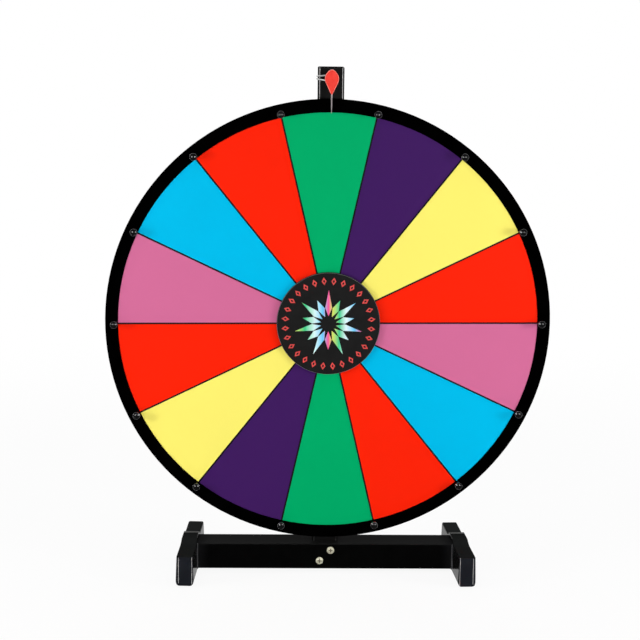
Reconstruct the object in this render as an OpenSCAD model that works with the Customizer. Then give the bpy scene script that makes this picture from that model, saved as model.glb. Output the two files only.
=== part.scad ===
// Tabletop prize wheel: a panelled wheel on ball bearings, a post on a two-footed stand, a sprung pointer.
// Millimetres. The origin lies on the table under the middle of the crossbar.
// +X is to the right, +Y to the back and +Z up, so the panels face -Y.

/* [Wheel] */
// Diameter of the wheel, over its rim
wheel_d = 609.6; // [500:0.1:760]
// Space between the rim and the top of the crossbar
wheel_clear = 11.6; // [8:0.1:40]
// Turn of the wheel at rest, against the clock seen from the front, in degrees
wheel_turn = 0.5; // [-12:0.1:12]
// Number of panels, and of the pegs between them
panel_count = 14; // [7:7:28]
// Thickness of a panel
panel_t = 1; // [0.6:0.1:1.4]
// Black line between two panels
panel_seam = 2.4; // [0.8:0.1:4]
// How far the panels run in under the hub cap
panel_under = 20; // [8:0.5:24]
// Thickness of the board
board_t = 9; // [8:0.5:16]
// Width of the rim's front lip
rim_w = 17.6; // [14:0.1:30]
// Width of the rim's back lip
rim_back_w = 20; // [18:0.5:34]
// Thickness of the rim round the board's edge
rim_edge = 4.8; // [3:0.1:6]
// Thickness of the rim's lips
rim_lip = 1.6; // [1.2:0.1:3]
// Rounding of the rim's outer edges
rim_round = 1.4; // [0.4:0.1:2]
// Space between the board's back and the post
wheel_gap = 7; // [6.5:0.1:14]

/* [Hub cap] */
// Diameter of the hub cap
hub_d = 141.4; // [124:0.1:180]
// Height of the hub cap over the panels
hub_h = 4.5; // [4.2:0.1:12]
// Wall of the hub cap
hub_wall = 1.5; // [1:0.1:1.8]
// Rounding of the hub cap's front edge
hub_round = 1; // [0.3:0.1:1.4]
// Diameter of the hub cap's push-in studs
hub_stud_d = 6; // [4:0.1:8]
// Radius at which the studs stand
hub_stud_r = 40; // [36:0.5:44]
// How far a stud enters the board
hub_stud_in = 5; // [3:0.1:6]

/* [Pegs] */
// Diameter of a peg's head
peg_head_d = 10.2; // [8:0.1:12]
// Height of a peg's head
peg_head_h = 5.6; // [4:0.1:7]
// Radius of the dome on a peg's head
peg_dome_r = 11; // [6.5:0.1:20]
// Diameter of a peg's stem
peg_stem_d = 6.6; // [6:0.1:7.5]
// Height of a peg over the rim
peg_h = 12.4; // [11:0.1:16]
// Distance from the panels' edge to the middle of the pegs
peg_inset = 4.9; // [4.4:0.1:6]
// Diameter of the spigot that enters the board
peg_spigot_d = 5; // [4.5:0.1:5.5]
// Depth of the spigot in the board
peg_spigot_in = 5; // [3:0.1:7]
// Thread diameter of a peg's screw
peg_screw_d = 3; // [2.5:0.1:3.5]

/* [Axle and bearings] */
// Diameter of the axle bolt
axle_d = 8; // [6:0.1:9]
// Outer diameter of a bearing
brg_od = 16; // [15:0.1:19]
// Width of a bearing
brg_w = 5; // [4.4:0.1:5.2]
// Sleeve between the two bearings
brg_gap = 2.5; // [1.5:0.1:2.8]
// Thickness of a race at its shoulder
race_t = 1.2; // [1:0.05:1.3]
// Diameter of a bearing ball
ball_d = 2.2; // [1.8:0.05:2.3]
// Balls in one bearing
ball_count = 9; // [5:1:10]
// Spacer washer between the post and the rear bearing
axle_shim_t = 1.5; // [1:0.1:2]
// Wall of the bearing housing
housing_wall = 3; // [2:0.1:5]
// Diameter of the housing's flange
flange_d = 64; // [54:0.5:76]
// Thickness of the housing's flange
flange_t = 3; // [2:0.1:3.5]
// Circle on which the flange's screws lie
flange_pcd = 48; // [42:0.5:54]
// Number of flange screws
flange_screws = 4; // [3:1:6]

/* [Post] */
// Width of the post
post_w = 35.6; // [32:0.1:44]
// Depth of the post
post_d = 20; // [16:0.1:30]
// Wall of the post
post_wall = 1.5; // [1:0.1:2.5]
// Rounding of the post's corners
post_r = 3; // [2:0.1:4]
// Height of the post over the wheel's top
post_rise = 42; // [34:0.1:60]
// Thickness of the plug's flange on the post's top
post_cap_t = 2.4; // [1.6:0.1:3]
// Bevel round the plug's flange
post_cap_bevel = 1.2; // [0.3:0.1:1.4]

/* [Base] */
// Width over both feet at the crossbar
base_w = 401.8; // [340:0.1:560]
// Depth of the crossbar
bar_d = 44; // [38:0.5:60]
// Height of the crossbar
bar_h = 36.8; // [32:0.1:50]
// Wall of the crossbar
bar_wall = 1.5; // [1:0.1:3]
// Rounding of the crossbar's long edges
bar_r = 2; // [1.8:0.1:4]
// Height of the crossbar over the table
bar_lift = 7.1; // [6:0.1:12]
// Spacing of the two base screws across
base_screw_x = 15.4; // [11:0.1:18]
// Spacing of the two base screws upwards
base_screw_z = 15.2; // [11:0.1:18]
// Height of their middle over the crossbar's middle
base_screw_rise = 1.5; // [0:0.1:2.5]
// Width of a foot
foot_w = 21.6; // [19:0.1:30]
// How much wider each side of a foot is at the sole
foot_draft = 1.6; // [0.3:0.1:2]
// Turn of the toes outwards, in degrees
foot_splay = 3; // [0:0.1:5]
// Length of a foot, front to back
foot_len = 165; // [150:1:240]
// Height of a foot's crown over the crossbar
foot_hump = 6; // [2.5:0.1:8]
// How far behind the crossbar's front the crown begins
foot_crown_front = 17; // [0:0.1:20]
// Run of the slope from the crown down to the toe
foot_slope = 29; // [22:0.1:34]
// How far before the crossbar's back the crown ends
foot_crown_back = 9; // [0:0.1:10.5]
// Run of the slope from the crown down to the heel
foot_back_slope = 13; // [13:0.1:18]
// Rounding of a foot's upright corners
foot_corner_r = 4.6; // [1.6:0.1:6]
// Rounding of a foot's lower edges at toe and heel
foot_sole_r = 5; // [2:0.1:6]
// Rounding of a foot's lower edges along its sides
foot_keel_r = 7.7; // [4:0.1:9]
// Rounding of a foot's upper edges
foot_top_r = 1.5; // [0.5:0.1:2]
// Depth of the socket for the crossbar's end
foot_socket = 15; // [13:0.1:15.5]
// How far the socket's collar runs out along the crossbar
foot_collar = 1; // [0.6:0.1:6]
// Thickness of that collar
foot_collar_t = 1.2; // [0.8:0.1:2]
// Wall of a foot round its hollows
foot_wall = 3; // [2:0.1:4]
// Length of a rubber pad
pad_l = 24; // [14:0.5:26]
// Width of a rubber pad
pad_w = 12; // [8:0.5:13]
// Thickness of a rubber pad
pad_t = 2.4; // [1.6:0.1:3]
// How far a pad stands out under the foot
pad_proud = 1; // [0.5:0.1:1.4]

/* [Pointer] */
// Width of the pointer at its widest
pointer_w = 18.7; // [17:0.1:22]
// Radius of the pointer's bulging sides
pointer_side_r = 12.2; // [11.5:0.1:16]
// Height of the pointer's top over its widest place
pointer_top = 12.1; // [12:0.1:15]
// Rounding of the pointer's top
pointer_top_r = 6.4; // [2:0.1:8]
// Rounding of the pointer's lower end
pointer_end_r = 1.5; // [1.4:0.1:3]
// Length of the pointer below its pivot
pointer_len = 20.9; // [20:0.1:24]
// Depth of its widest place below its pivot
pointer_low = 0.5; // [0:0.1:2]
// Thickness of the pointer's back plate
pointer_plate_t = 3.5; // [2.5:0.1:5]
// Thickness of the pointer's front cover
pointer_cover_t = 4.5; // [4.3:0.1:7]
// Bevel round the cover's front
pointer_bevel = 0.8; // [0.3:0.1:0.9]
// Distance from the board's front to the pointer's back
pointer_off = 7; // [5:0.1:7.5]
// Depth of the pivot below the post's top
pivot_drop = 14.2; // [12:0.1:17]
// Diameter of the pivot bolt
pivot_d = 5; // [4:0.1:5.2]
// Outer diameter of the stand-off tube
standoff_d = 6.4; // [6.4:0.1:8]
// Thickness of the blade where it leaves the pointer
blade_t = 2; // [1.6:0.1:2.4]
// Thickness of the blade at its tip
blade_tip_t = 0.8; // [0.6:0.1:1.5]
// Width of the blade, front to back
blade_w = 4.6; // [3:0.1:5]
// Length of the blade inside the pointer
blade_in = 9; // [5:0.1:10]
// How far the blade's tip reaches over the panels
blade_reach = 0.3; // [0:0.1:4]

/* [Spring] */
// Diameter of the spring's wire
wire_d = 2; // [1:0.1:2.2]
// Full turns of the spring's coil
spring_turns = 4; // [2:1:5]
// Space between two turns
coil_gap = 0.6; // [0.5:0.05:0.8]
// Play between the coil and the stand-off
coil_play = 0.6; // [0.3:0.1:0.95]
// Height of each leg's hook over or under the pivot
hook_half = 1.8; // [1.3:0.1:3.5]
// Length of the hooks along the post's side
hook_len = 6; // [3:0.1:12]
// Length of the straight start of each leg
leg_start = 6.5; // [5.5:0.1:8]
// Diameter of the peg on the plate that the legs hold
catch_d = 2.4; // [2:0.1:3]

/* [Hidden] */
// Facets of round shapes
$fn = 96;
rim_fn = 240;
small_fn = 48;

// Clearances
slip = 0.05;
seat = 0.1;
post_play = 0.3;
spring_play = 0.3;
swing_play = 0.2;
cut = 1;

// Screw and nut sizes, as shares of the thread's diameter
head_share = 2.1;
head_flat = 2;
nut_flat_share = 1.6;
nut_high_share = 0.8;
washer_share = 2;
washer_t = 1;
thread_end_share = 0.4;

// Levels of the stand
bar_top = bar_lift + bar_h;
bar_mid = bar_lift + bar_h / 2;
foot_in = base_w / 2 - foot_w;
foot_mid = base_w / 2 - foot_w / 2;
foot_top = bar_top + foot_hump;
bar_len = 2 * (foot_in + foot_socket - seat);
base_screw_d = 5;
base_screw_head = 10.2;
base_screw_head_h = 2.6;
foot_screw_d = 4;
foot_screw_y = bar_d / 4;
foot_screw_x = foot_in + foot_socket / 2;
foot_screw_sink = 2.5;
foot_screw_in = 5;
pad_y = foot_len / 2 - foot_sole_r - pad_l / 2 - foot_wall;

// Wheel
wheel_r = wheel_d / 2;
wheel_z = bar_top + wheel_clear + wheel_r;
panel_r = wheel_r - rim_w;
panel_in_r = hub_d / 2 - panel_under;
panel_pitch = 360 / panel_count;
board_r = wheel_r - rim_edge;
board_front_y = -(post_d / 2 + wheel_gap + board_t);
panel_cycle = ["green", "purple", "yellow", "red", "pink", "blue", "red"];

// Pegs
peg_r = panel_r + peg_inset;
peg_screw_head_h = 1.8;
peg_screw_in = 6;

// Axle stack, measured forwards from the board's front face
post_front = -(board_t + wheel_gap);
rear_brg = post_front + axle_shim_t;
front_brg = rear_brg + brg_w + brg_gap;
stack_end = front_brg + brg_w;
axle_head_d = 14;
axle_head_h = 4.2;
axle_socket = 5;
ball_r = (axle_d + brg_od) / 4;
shield_t = 0.4;
shield_gap = 0.25;
groove_play = 0.15;
housing_r = brg_od / 2 + housing_wall;
flange_screw_d = 3.5;
flange_screw_in = 6;
flange_screw_head_h = 1.8;

// Post and pointer
post_top = wheel_z + wheel_r + post_rise;
post_foot = bar_lift + bar_wall;
pivot_z = post_top - pivot_drop;
plug_len = pivot_drop - post_cap_t - pivot_d / 2 - 0.5;
plug_wall = 1.4;
plug_play = 0.15;
jam_h = nut_high_share * pivot_d;
pivot_head = 9.5;
pivot_head_h = 3.3;
cover_back = pointer_off + pointer_plate_t;
cover_front = cover_back + pointer_cover_t;
head_seat = cover_back + swing_play;
standoff_front = pointer_off - swing_play;
standoff_back = post_front + jam_h;
blade_mid = (pointer_off + cover_front) / 2 - 0.3;
blade_tip_r = panel_r - blade_reach;
blade_play = 0.1;

// Spring: where its coil and its legs run
spring_r = standoff_d / 2 + coil_play + wire_d / 2;
spring_pitch = wire_d + coil_gap;
hook_x = post_w / 2 + spring_play + wire_d / 2;
hook_lead = 2;
leg_angle = atan2(hook_half, -hook_x) - acos(spring_r / norm([hook_x, hook_half]));
coil_sweep = 360 * spring_turns + 2 * leg_angle;
coil_len = spring_pitch * coil_sweep / 360;
coil_back_y = -(post_d / 2 + jam_h + wire_d / 2 + 1.5);
curl_rings = 8;
wire_sides = 6;
bend_rings = 3;
bend_share = 0.32;
catch_gap = 0.5;
catch_x = -(spring_r + wire_d / 2 + catch_gap + catch_d / 2);
catch_back = standoff_back - 1;

// Places

// The wheel's own frame: zero on the axis at the board's front face, +Z towards the front
module at_wheel() {
    translate([0, board_front_y, wheel_z]) rotate([90, 0, 0]) rotate(wheel_turn) children();
}

// The pointer's own frame: as the wheel's, but on the pivot
module at_pivot() {
    translate([0, board_front_y, pivot_z]) rotate([90, 0, 0]) children();
}

// One copy at every peg, on the seams between the panels
module at_pegs() {
    for (k = [0 : panel_count - 1]) {
        rotate((k + 0.5) * panel_pitch) translate([0, peg_r, 0]) children();
    }
}

// One copy at every screw of the housing's flange
module at_flange_screws() {
    for (k = [0 : flange_screws - 1]) {
        rotate((k + 0.5) * 360 / flange_screws) translate([flange_pcd / 2, 0, 0]) children();
    }
}

// One copy at each of the two screws through crossbar and post, seen from the front
module at_base_screws() {
    for (side = [-1, 1]) {
        translate([side * base_screw_x / 2, 0, bar_mid + base_screw_rise + side * base_screw_z / 2])
            rotate([90, 0, 0]) children();
    }
}

// One copy at each screw under a foot
module at_foot_screws() {
    for (x = [-1, 1], y = [-1, 1]) {
        translate([x * foot_screw_x, y * foot_screw_y, 0]) children();
    }
}

// Turns what belongs to the right foot outwards at the toe
module splayed() {
    translate([foot_mid, 0, 0]) rotate(foot_splay) translate([-foot_mid, 0, 0]) children();
}

// One copy at each rubber pad
module at_pads() {
    for (left = [0, 1], y = [-1, 1]) {
        mirror([left, 0, 0]) splayed() translate([foot_mid, y * pad_y, 0]) children();
    }
}

// Shared shapes

// Rectangle with round corners, about its middle
module rounded_rect(w, h, r) {
    square([w - 2 * r, h], center = true);
    square([w, h - 2 * r], center = true);
    for (x = [-1, 1], y = [-1, 1]) {
        translate([x * (w / 2 - r), y * (h / 2 - r)]) circle(r, $fn = small_fn);
    }
}

// Ring between two radii and two heights
module ring(r_out, r_in, z0, z1) {
    translate([0, 0, z0]) linear_extrude(z1 - z0) difference() {
        circle(r_out);
        circle(r_in);
    }
}

// Pan-head screw with a cross recess: the head's seat is at zero, the thread runs down from it
module pan_screw(head_d, head_h, thread_d, thread_l) {
    dome_r = (head_d * head_d / 4 + head_h * head_h) / (2 * head_h) * head_flat;
    slot_w = 0.16 * head_d;
    slot_l = 0.56 * head_d;
    difference() {
        union() {
            rotate_extrude($fn = small_fn) intersection() {
                square([head_d / 2, head_h]);
                translate([0, head_h - dome_r]) circle(dome_r, $fn = 2 * small_fn);
            }
            translate([0, 0, -thread_l]) cylinder(d = thread_d, h = thread_l + head_h / 3, $fn = small_fn);
        }
        for (turn = [0, 90]) {
            rotate(turn) translate([-slot_l / 2, -slot_w / 2, 0.45 * head_h]) cube([slot_l, slot_w, head_h]);
        }
    }
}

// Hexagon nut with its bore, from zero up, with a collar where it is a lock nut
module hex_nut(thread_d, collar = 0) {
    flat = nut_flat_share * thread_d;
    high = nut_high_share * thread_d;
    difference() {
        union() {
            cylinder(d = flat / cos(30), h = high, $fn = 6);
            if (collar > 0) translate([0, 0, high]) cylinder(d = 0.86 * flat, h = collar, $fn = small_fn);
        }
        translate([0, 0, -cut])
            cylinder(r = thread_d / 2 + slip, h = high + collar + 2 * cut, $fn = small_fn);
    }
}

// Washer from zero up
module washer(thread_d) {
    ring(washer_share * thread_d / 2, thread_d / 2 + slip, 0, washer_t, $fn = small_fn);
}

// Base

// Crossbar: a rectangular tube, its ends in the feet, with a slot in its top wall for the post
module crossbar() {
    color("#1b1b1d") difference() {
        translate([-bar_len / 2, 0, bar_mid]) rotate([90, 0, 90]) linear_extrude(bar_len) difference() {
            rounded_rect(bar_d, bar_h, bar_r);
            rounded_rect(bar_d - 2 * bar_wall, bar_h - 2 * bar_wall, bar_r / 3);
        }
        translate([0, 0, bar_mid]) linear_extrude(bar_h)
            rounded_rect(post_w + 2 * post_play, post_d + 2 * post_play, post_r + post_play);
        at_base_screws() translate([0, 0, -bar_d]) cylinder(r = base_screw_d / 2 + seat, h = 2 * bar_d);
        at_foot_screws() cylinder(r = foot_screw_d / 2 + seat, h = bar_mid);
    }
}

// Side outline of a foot: a level toe and heel and a crown over the crossbar, joined by S-curves
module foot_side() {
    body_h = bar_top - pad_proud;
    crown_front = bar_d / 2 - foot_crown_front;
    crown_back = bar_d / 2 - foot_crown_back;
    translate([0, pad_proud]) {
        translate([-foot_len / 2, foot_sole_r]) square([foot_len, body_h - foot_sole_r - foot_top_r]);
        translate([-foot_len / 2 + foot_sole_r, 0]) square([foot_len - 2 * foot_sole_r, body_h / 2]);
        translate([-foot_len / 2 + foot_top_r, body_h / 2]) square([foot_len - 2 * foot_top_r, body_h / 2]);
        for (end = [-1, 1]) {
            translate([end * (foot_len / 2 - foot_sole_r), foot_sole_r]) circle(foot_sole_r);
            translate([end * (foot_len / 2 - foot_top_r), body_h - foot_top_r]) circle(foot_top_r);
        }
    }
    translate([-crown_front, bar_mid]) square([crown_front + crown_back, foot_top - bar_mid]);
    for (front = [0, 1]) mirror([front, 0]) {
        crown = front == 1 ? crown_front : crown_back;
        run = front == 1 ? foot_slope : foot_back_slope;
        slope_r = (run * run + foot_hump * foot_hump) / (4 * foot_hump);
        intersection() {
            translate([crown, foot_top - slope_r]) circle(slope_r);
            translate([crown - cut, bar_mid]) square([run / 2 + cut, bar_h]);
        }
        difference() {
            translate([crown, bar_mid]) square([run, bar_top + foot_hump / 2 - bar_mid]);
            translate([crown + run, bar_top + slope_r]) circle(slope_r);
        }
    }
}

// Front outline of a foot, round at the sole and at the crown, widest at the sole
module foot_front() {
    hull() for (side = [-1, 1]) {
        translate([side * (foot_w / 2 + foot_draft - foot_keel_r), pad_proud + foot_keel_r])
            circle(foot_keel_r);
        translate([side * (foot_w / 2 - foot_top_r), foot_top - foot_top_r]) circle(foot_top_r);
    }
}

// Body of the right foot: the three outlines met
module foot_body() {
    sole_w = foot_w + 2 * foot_draft;
    broad = sole_w + 2 * cut;
    long = foot_len + 2 * cut;
    splayed() translate([foot_mid, 0, 0]) intersection() {
        translate([-broad / 2, 0, 0]) rotate([90, 0, 90]) linear_extrude(broad) foot_side();
        translate([0, long / 2, 0]) rotate([90, 0, 0]) linear_extrude(long) foot_front();
        linear_extrude(foot_top + cut) rounded_rect(sole_w + 2 * seat, foot_len, foot_corner_r);
    }
}

// Right foot: the body with a collar, less the crossbar's socket, the pads' seats and the moulded hollows
module foot() {
    socket_lead = max(foot_collar, foot_draft + bar_d / 2 * tan(foot_splay)) + cut;
    hollow_in = bar_d / 2 + 2 * foot_wall;
    hollow_out = pad_y - pad_l / 2 - foot_wall;
    hollow_l = (hollow_out - hollow_in - foot_wall) / 2;
    difference() {
        union() {
            foot_body();
            translate([foot_in - foot_collar, 0, bar_mid]) rotate([90, 0, 90])
                linear_extrude(foot_collar + foot_w / 2)
                rounded_rect(bar_d + 2 * foot_collar_t, bar_h + 2 * foot_collar_t, bar_r + foot_collar_t);
        }
        translate([foot_in - socket_lead, 0, bar_mid]) rotate([90, 0, 90])
            linear_extrude(foot_socket + socket_lead)
            rounded_rect(bar_d + 2 * seat, bar_h + 2 * seat, bar_r);
        for (y = [-1, 1]) {
            translate([foot_screw_x, y * foot_screw_y, 0])
                cylinder(r = foot_screw_d / 2 + seat, h = bar_mid, $fn = small_fn);
            translate([foot_screw_x, y * foot_screw_y, 0])
                cylinder(d = head_share * foot_screw_d + 4 * seat, h = pad_proud + foot_screw_sink);
        }
        splayed() for (y = [-1, 1]) {
            translate([foot_mid, y * pad_y, 0]) linear_extrude(pad_t)
                rounded_rect(pad_w + 2 * seat, pad_l + 2 * seat, foot_top_r);
            for (k = [0, 1]) {
                translate([foot_mid, y * (hollow_in + hollow_l / 2 + k * (hollow_l + foot_wall)), 0])
                    linear_extrude(bar_top - foot_wall)
                    rounded_rect(foot_w - 2 * foot_wall, hollow_l, foot_top_r);
            }
        }
    }
}

module foot_right() {
    color("#26272a") foot();
}

module foot_left() {
    color("#26272a") mirror([1, 0, 0]) foot();
}

// Rubber pads, let into the soles
module foot_pads() {
    color("#141414") at_pads() linear_extrude(pad_t) rounded_rect(pad_w, pad_l, foot_top_r);
}

// Screws up through the soles into the crossbar's lower wall
module foot_screws() {
    head_h = foot_screw_sink - 0.5;
    color("#d6d4c6") at_foot_screws() translate([0, 0, pad_proud + foot_screw_sink]) rotate([180, 0, 0])
        pan_screw(head_share * foot_screw_d, head_h, foot_screw_d,
            bar_lift - pad_proud - foot_screw_sink + bar_wall + foot_screw_in);
}

// Post: a rectangular tube that stands on the crossbar's lower wall
module post() {
    color("#1b1b1d") difference() {
        translate([0, 0, post_foot]) linear_extrude(post_top - post_cap_t - post_foot) difference() {
            rounded_rect(post_w, post_d, post_r);
            rounded_rect(post_w - 2 * post_wall, post_d - 2 * post_wall, post_r / 2);
        }
        at_base_screws() translate([0, 0, -post_d]) cylinder(r = base_screw_d / 2 + seat, h = 2 * post_d);
        translate([0, post_d, wheel_z]) rotate([90, 0, 0]) cylinder(r = axle_d / 2 + slip, h = 2 * post_d);
        translate([0, post_d, pivot_z]) rotate([90, 0, 0]) cylinder(r = pivot_d / 2 + slip, h = 2 * post_d);
    }
}

// Plug in the post's top, its flange bevelled all round
module post_cap() {
    plug_w = post_w - 2 * post_wall - 2 * plug_play;
    plug_d = post_d - 2 * post_wall - 2 * plug_play;
    color("#202124") {
        translate([0, 0, post_top - post_cap_t]) hull() {
            linear_extrude(post_cap_t - post_cap_bevel) rounded_rect(post_w, post_d, post_r);
            linear_extrude(post_cap_t) rounded_rect(post_w - 2 * post_cap_bevel,
                post_d - 2 * post_cap_bevel, post_r - post_cap_bevel);
        }
        translate([0, 0, post_top - post_cap_t - plug_len]) linear_extrude(plug_len) difference() {
            rounded_rect(plug_w, plug_d, post_r / 2);
            rounded_rect(plug_w - 2 * plug_wall, plug_d - 2 * plug_wall, post_r / 4);
        }
    }
}

// Screws through crossbar and post
module base_screws() {
    nut_stack = washer_t + nut_high_share * base_screw_d + thread_end_share * base_screw_d;
    color("#e0dfd0") at_base_screws() translate([0, 0, bar_d / 2])
        pan_screw(base_screw_head, base_screw_head_h, base_screw_d, bar_d + nut_stack);
}

// Washers and nuts of those screws, on the crossbar's back
module base_nuts() {
    color("#d6d4c6") at_base_screws() translate([0, 0, -bar_d / 2]) mirror([0, 0, 1]) {
        washer(base_screw_d);
        translate([0, 0, washer_t]) hex_nut(base_screw_d);
    }
}

// Axle and bearings

// Axle bolt: a socket head in front of the bearings, the thread through the post
module axle_bolt() {
    head_seat_z = stack_end + washer_t;
    tail = washer_t + nut_high_share * axle_d + thread_end_share * axle_d;
    length = head_seat_z - post_front + post_d + tail;
    color("#c9c9c9") at_wheel() difference() {
        union() {
            translate([0, 0, head_seat_z - length]) cylinder(d = axle_d, h = length + axle_head_h / 2);
            translate([0, 0, head_seat_z]) rotate_extrude() intersection() {
                square([axle_head_d / 2, axle_head_h]);
                translate([0, axle_head_h - axle_head_d]) circle(axle_head_d);
            }
        }
        translate([0, 0, head_seat_z + axle_head_h / 2])
            cylinder(d = axle_socket / cos(30), h = axle_head_h, $fn = 6);
    }
}

// Washers of the axle: under its head, in front of the post and behind the post
module axle_washers() {
    shim_r = axle_d / 2 + race_t - slip;
    color("#d6d4c6") at_wheel() {
        ring(shim_r, axle_d / 2 + slip, stack_end, stack_end + washer_t);
        ring(shim_r, axle_d / 2 + slip, post_front, rear_brg);
        translate([0, 0, post_front - post_d - washer_t]) washer(axle_d);
    }
}

// Lock nut behind the post
module axle_nut() {
    color("#d6d4c6") at_wheel() translate([0, 0, post_front - post_d - washer_t]) mirror([0, 0, 1])
        hex_nut(axle_d, collar = 1.5);
}

// Groove that the balls run in
module ball_groove() {
    rotate_extrude() translate([ball_r, 0]) circle(ball_d / 2 + groove_play, $fn = small_fn);
}

// One copy at the middle of each bearing
module at_bearings() {
    for (z = [rear_brg, front_brg]) {
        translate([0, 0, z + brg_w / 2]) children();
    }
}

// Inner races, tight on the axle bolt
module bearing_inner_races() {
    color("#bfc2c6") at_wheel() at_bearings() difference() {
        ring(axle_d / 2 + race_t, axle_d / 2 + slip, -brg_w / 2, brg_w / 2);
        ball_groove();
    }
}

// Outer races with their shields, in the housing
module bearing_outer_races() {
    color("#bfc2c6") at_wheel() at_bearings() {
        difference() {
            ring(brg_od / 2 - slip, brg_od / 2 - race_t, -brg_w / 2, brg_w / 2);
            ball_groove();
        }
        for (side = [0, 1]) mirror([0, 0, side])
            ring(brg_od / 2 - race_t / 2, axle_d / 2 + race_t + shield_gap, brg_w / 2 - shield_t, brg_w / 2);
    }
}

// Balls of both bearings
module bearing_balls() {
    color("#d8dadd") at_wheel() at_bearings() for (k = [0 : ball_count - 1]) {
        rotate(k * 360 / ball_count) translate([ball_r, 0, 0]) sphere(d = ball_d, $fn = 24);
    }
}

// Sleeve between the inner races
module bearing_spacer() {
    color("#c9c9c9") at_wheel()
        ring(axle_d / 2 + race_t - slip, axle_d / 2 + slip, rear_brg + brg_w, front_brg);
}

// Housing: a tube for both bearings with a shoulder between them and a flange on the board's back
module bearing_housing() {
    color("#9a9da1") at_wheel() difference() {
        union() {
            ring(housing_r, brg_od / 2, rear_brg, stack_end);
            ring(housing_r, brg_od / 2 - race_t / 2, rear_brg + brg_w, front_brg);
            ring(flange_d / 2, brg_od / 2 + housing_wall / 2, -board_t - flange_t, -board_t);
        }
        at_flange_screws() translate([0, 0, -board_t - flange_t - cut])
            cylinder(r = flange_screw_d / 2 + seat, h = flange_t + 2 * cut, $fn = small_fn);
    }
}

// Screws of the flange, into the board's back
module housing_screws() {
    color("#d6d4c6") at_wheel() at_flange_screws() translate([0, 0, -board_t - flange_t]) mirror([0, 0, 1])
        pan_screw(head_share * flange_screw_d, flange_screw_head_h, flange_screw_d,
            flange_t + flange_screw_in);
}

// Wheel

// Board: a round sheet with the holes for housing, screws, pegs and hub cap
module wheel_board() {
    color("#161616") at_wheel() difference() {
        translate([0, 0, -board_t]) cylinder(r = board_r - seat, h = board_t, $fn = rim_fn);
        translate([0, 0, -board_t - cut]) cylinder(r = housing_r + seat, h = board_t + 2 * cut);
        at_flange_screws() translate([0, 0, -board_t - cut])
            cylinder(r = flange_screw_d / 2 + slip, h = cut + flange_screw_in + seat, $fn = small_fn);
        at_pegs() {
            translate([0, 0, -board_t - cut])
                cylinder(r = peg_screw_d / 2 + seat, h = board_t + cut, $fn = small_fn);
            translate([0, 0, -peg_spigot_in - seat])
                cylinder(r = peg_spigot_d / 2 + slip, h = peg_spigot_in + cut, $fn = small_fn);
        }
        for (k = [0 : 2]) rotate(k * 120) translate([0, hub_stud_r, -hub_stud_in - seat])
            cylinder(r = hub_stud_d / 2 + slip, h = hub_stud_in + cut, $fn = small_fn);
    }
}

// Rim: a channel pressed over the board's edge, drilled for the pegs and their screws
module wheel_rim() {
    high = board_t + 2 * rim_lip;
    color("#141414") at_wheel() difference() {
        rotate_extrude($fn = rim_fn) intersection() {
            union() {
                translate([board_r, -board_t - rim_lip]) square([rim_edge, high]);
                translate([panel_r, 0]) square([rim_w, rim_lip]);
                translate([wheel_r - rim_back_w, -board_t - rim_lip]) square([rim_back_w, rim_lip]);
            }
            translate([wheel_r - rim_back_w, -board_t / 2]) rounded_rect(2 * rim_back_w, high, rim_round);
        }
        at_pegs() {
            translate([0, 0, -board_t / 2])
                cylinder(r = peg_spigot_d / 2 + slip, h = board_t, $fn = small_fn);
            translate([0, 0, -board_t - rim_lip - cut])
                cylinder(r = peg_screw_d / 2 + seat, h = board_t, $fn = small_fn);
        }
    }
}

// Panels of one colour: sectors with a seam left free on both sides
module panels(name) {
    half = panel_pitch / 2;
    apex = panel_seam / 2 / sin(half);
    far_x = 2 * panel_r * sin(half);
    far_y = 2 * panel_r * cos(half);
    at_wheel() for (k = [0 : panel_count - 1]) {
        if (panel_cycle[k % len(panel_cycle)] == name) rotate(-k * panel_pitch) linear_extrude(panel_t)
            intersection() {
                difference() {
                    circle(panel_r - seat, $fn = rim_fn);
                    circle(panel_in_r);
                }
                translate([0, apex]) polygon([[0, 0], [far_x, far_y], [-far_x, far_y]]);
            }
    }
}

module green_panels() {
    color("#00ac6a") panels("green");
}

module purple_panels() {
    color("#422060") panels("purple");
}

module yellow_panels() {
    color("#fff278") panels("yellow");
}

module red_panels() {
    color("#ff280a") panels("red");
}

module pink_panels() {
    color("#d773a0") panels("pink");
}

module blue_panels() {
    color("#00beee") panels("blue");
}

// Pegs: a domed head on a stem, with a spigot through the rim into the board and a hole for the screw
module pegs() {
    collar_d = (peg_stem_d + peg_head_d) / 2;
    collar_h = 1;
    color("#1a1a1c") at_wheel() at_pegs() difference() {
        rotate_extrude($fn = small_fn) {
            translate([0, -peg_spigot_in]) square([peg_spigot_d / 2, peg_spigot_in + rim_lip]);
            translate([0, rim_lip]) square([collar_d / 2, collar_h]);
            translate([0, rim_lip]) square([peg_stem_d / 2, peg_h - peg_head_h / 2]);
            intersection() {
                translate([0, rim_lip + peg_h - peg_head_h]) square([peg_head_d / 2, peg_head_h]);
                translate([0, rim_lip + peg_h - peg_dome_r]) circle(peg_dome_r, $fn = 2 * small_fn);
            }
        }
        translate([0, 0, -peg_spigot_in - cut])
            cylinder(r = peg_screw_d / 2 + slip, h = cut + peg_screw_in + seat, $fn = small_fn);
    }
}

// Screws that hold the pegs, from the back
module peg_screws() {
    color("#d6d4c6") at_wheel() at_pegs() translate([0, 0, -board_t - rim_lip]) mirror([0, 0, 1])
        pan_screw(head_share * peg_screw_d, peg_screw_head_h, peg_screw_d,
            board_t + rim_lip - peg_spigot_in + peg_screw_in);
}

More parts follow.
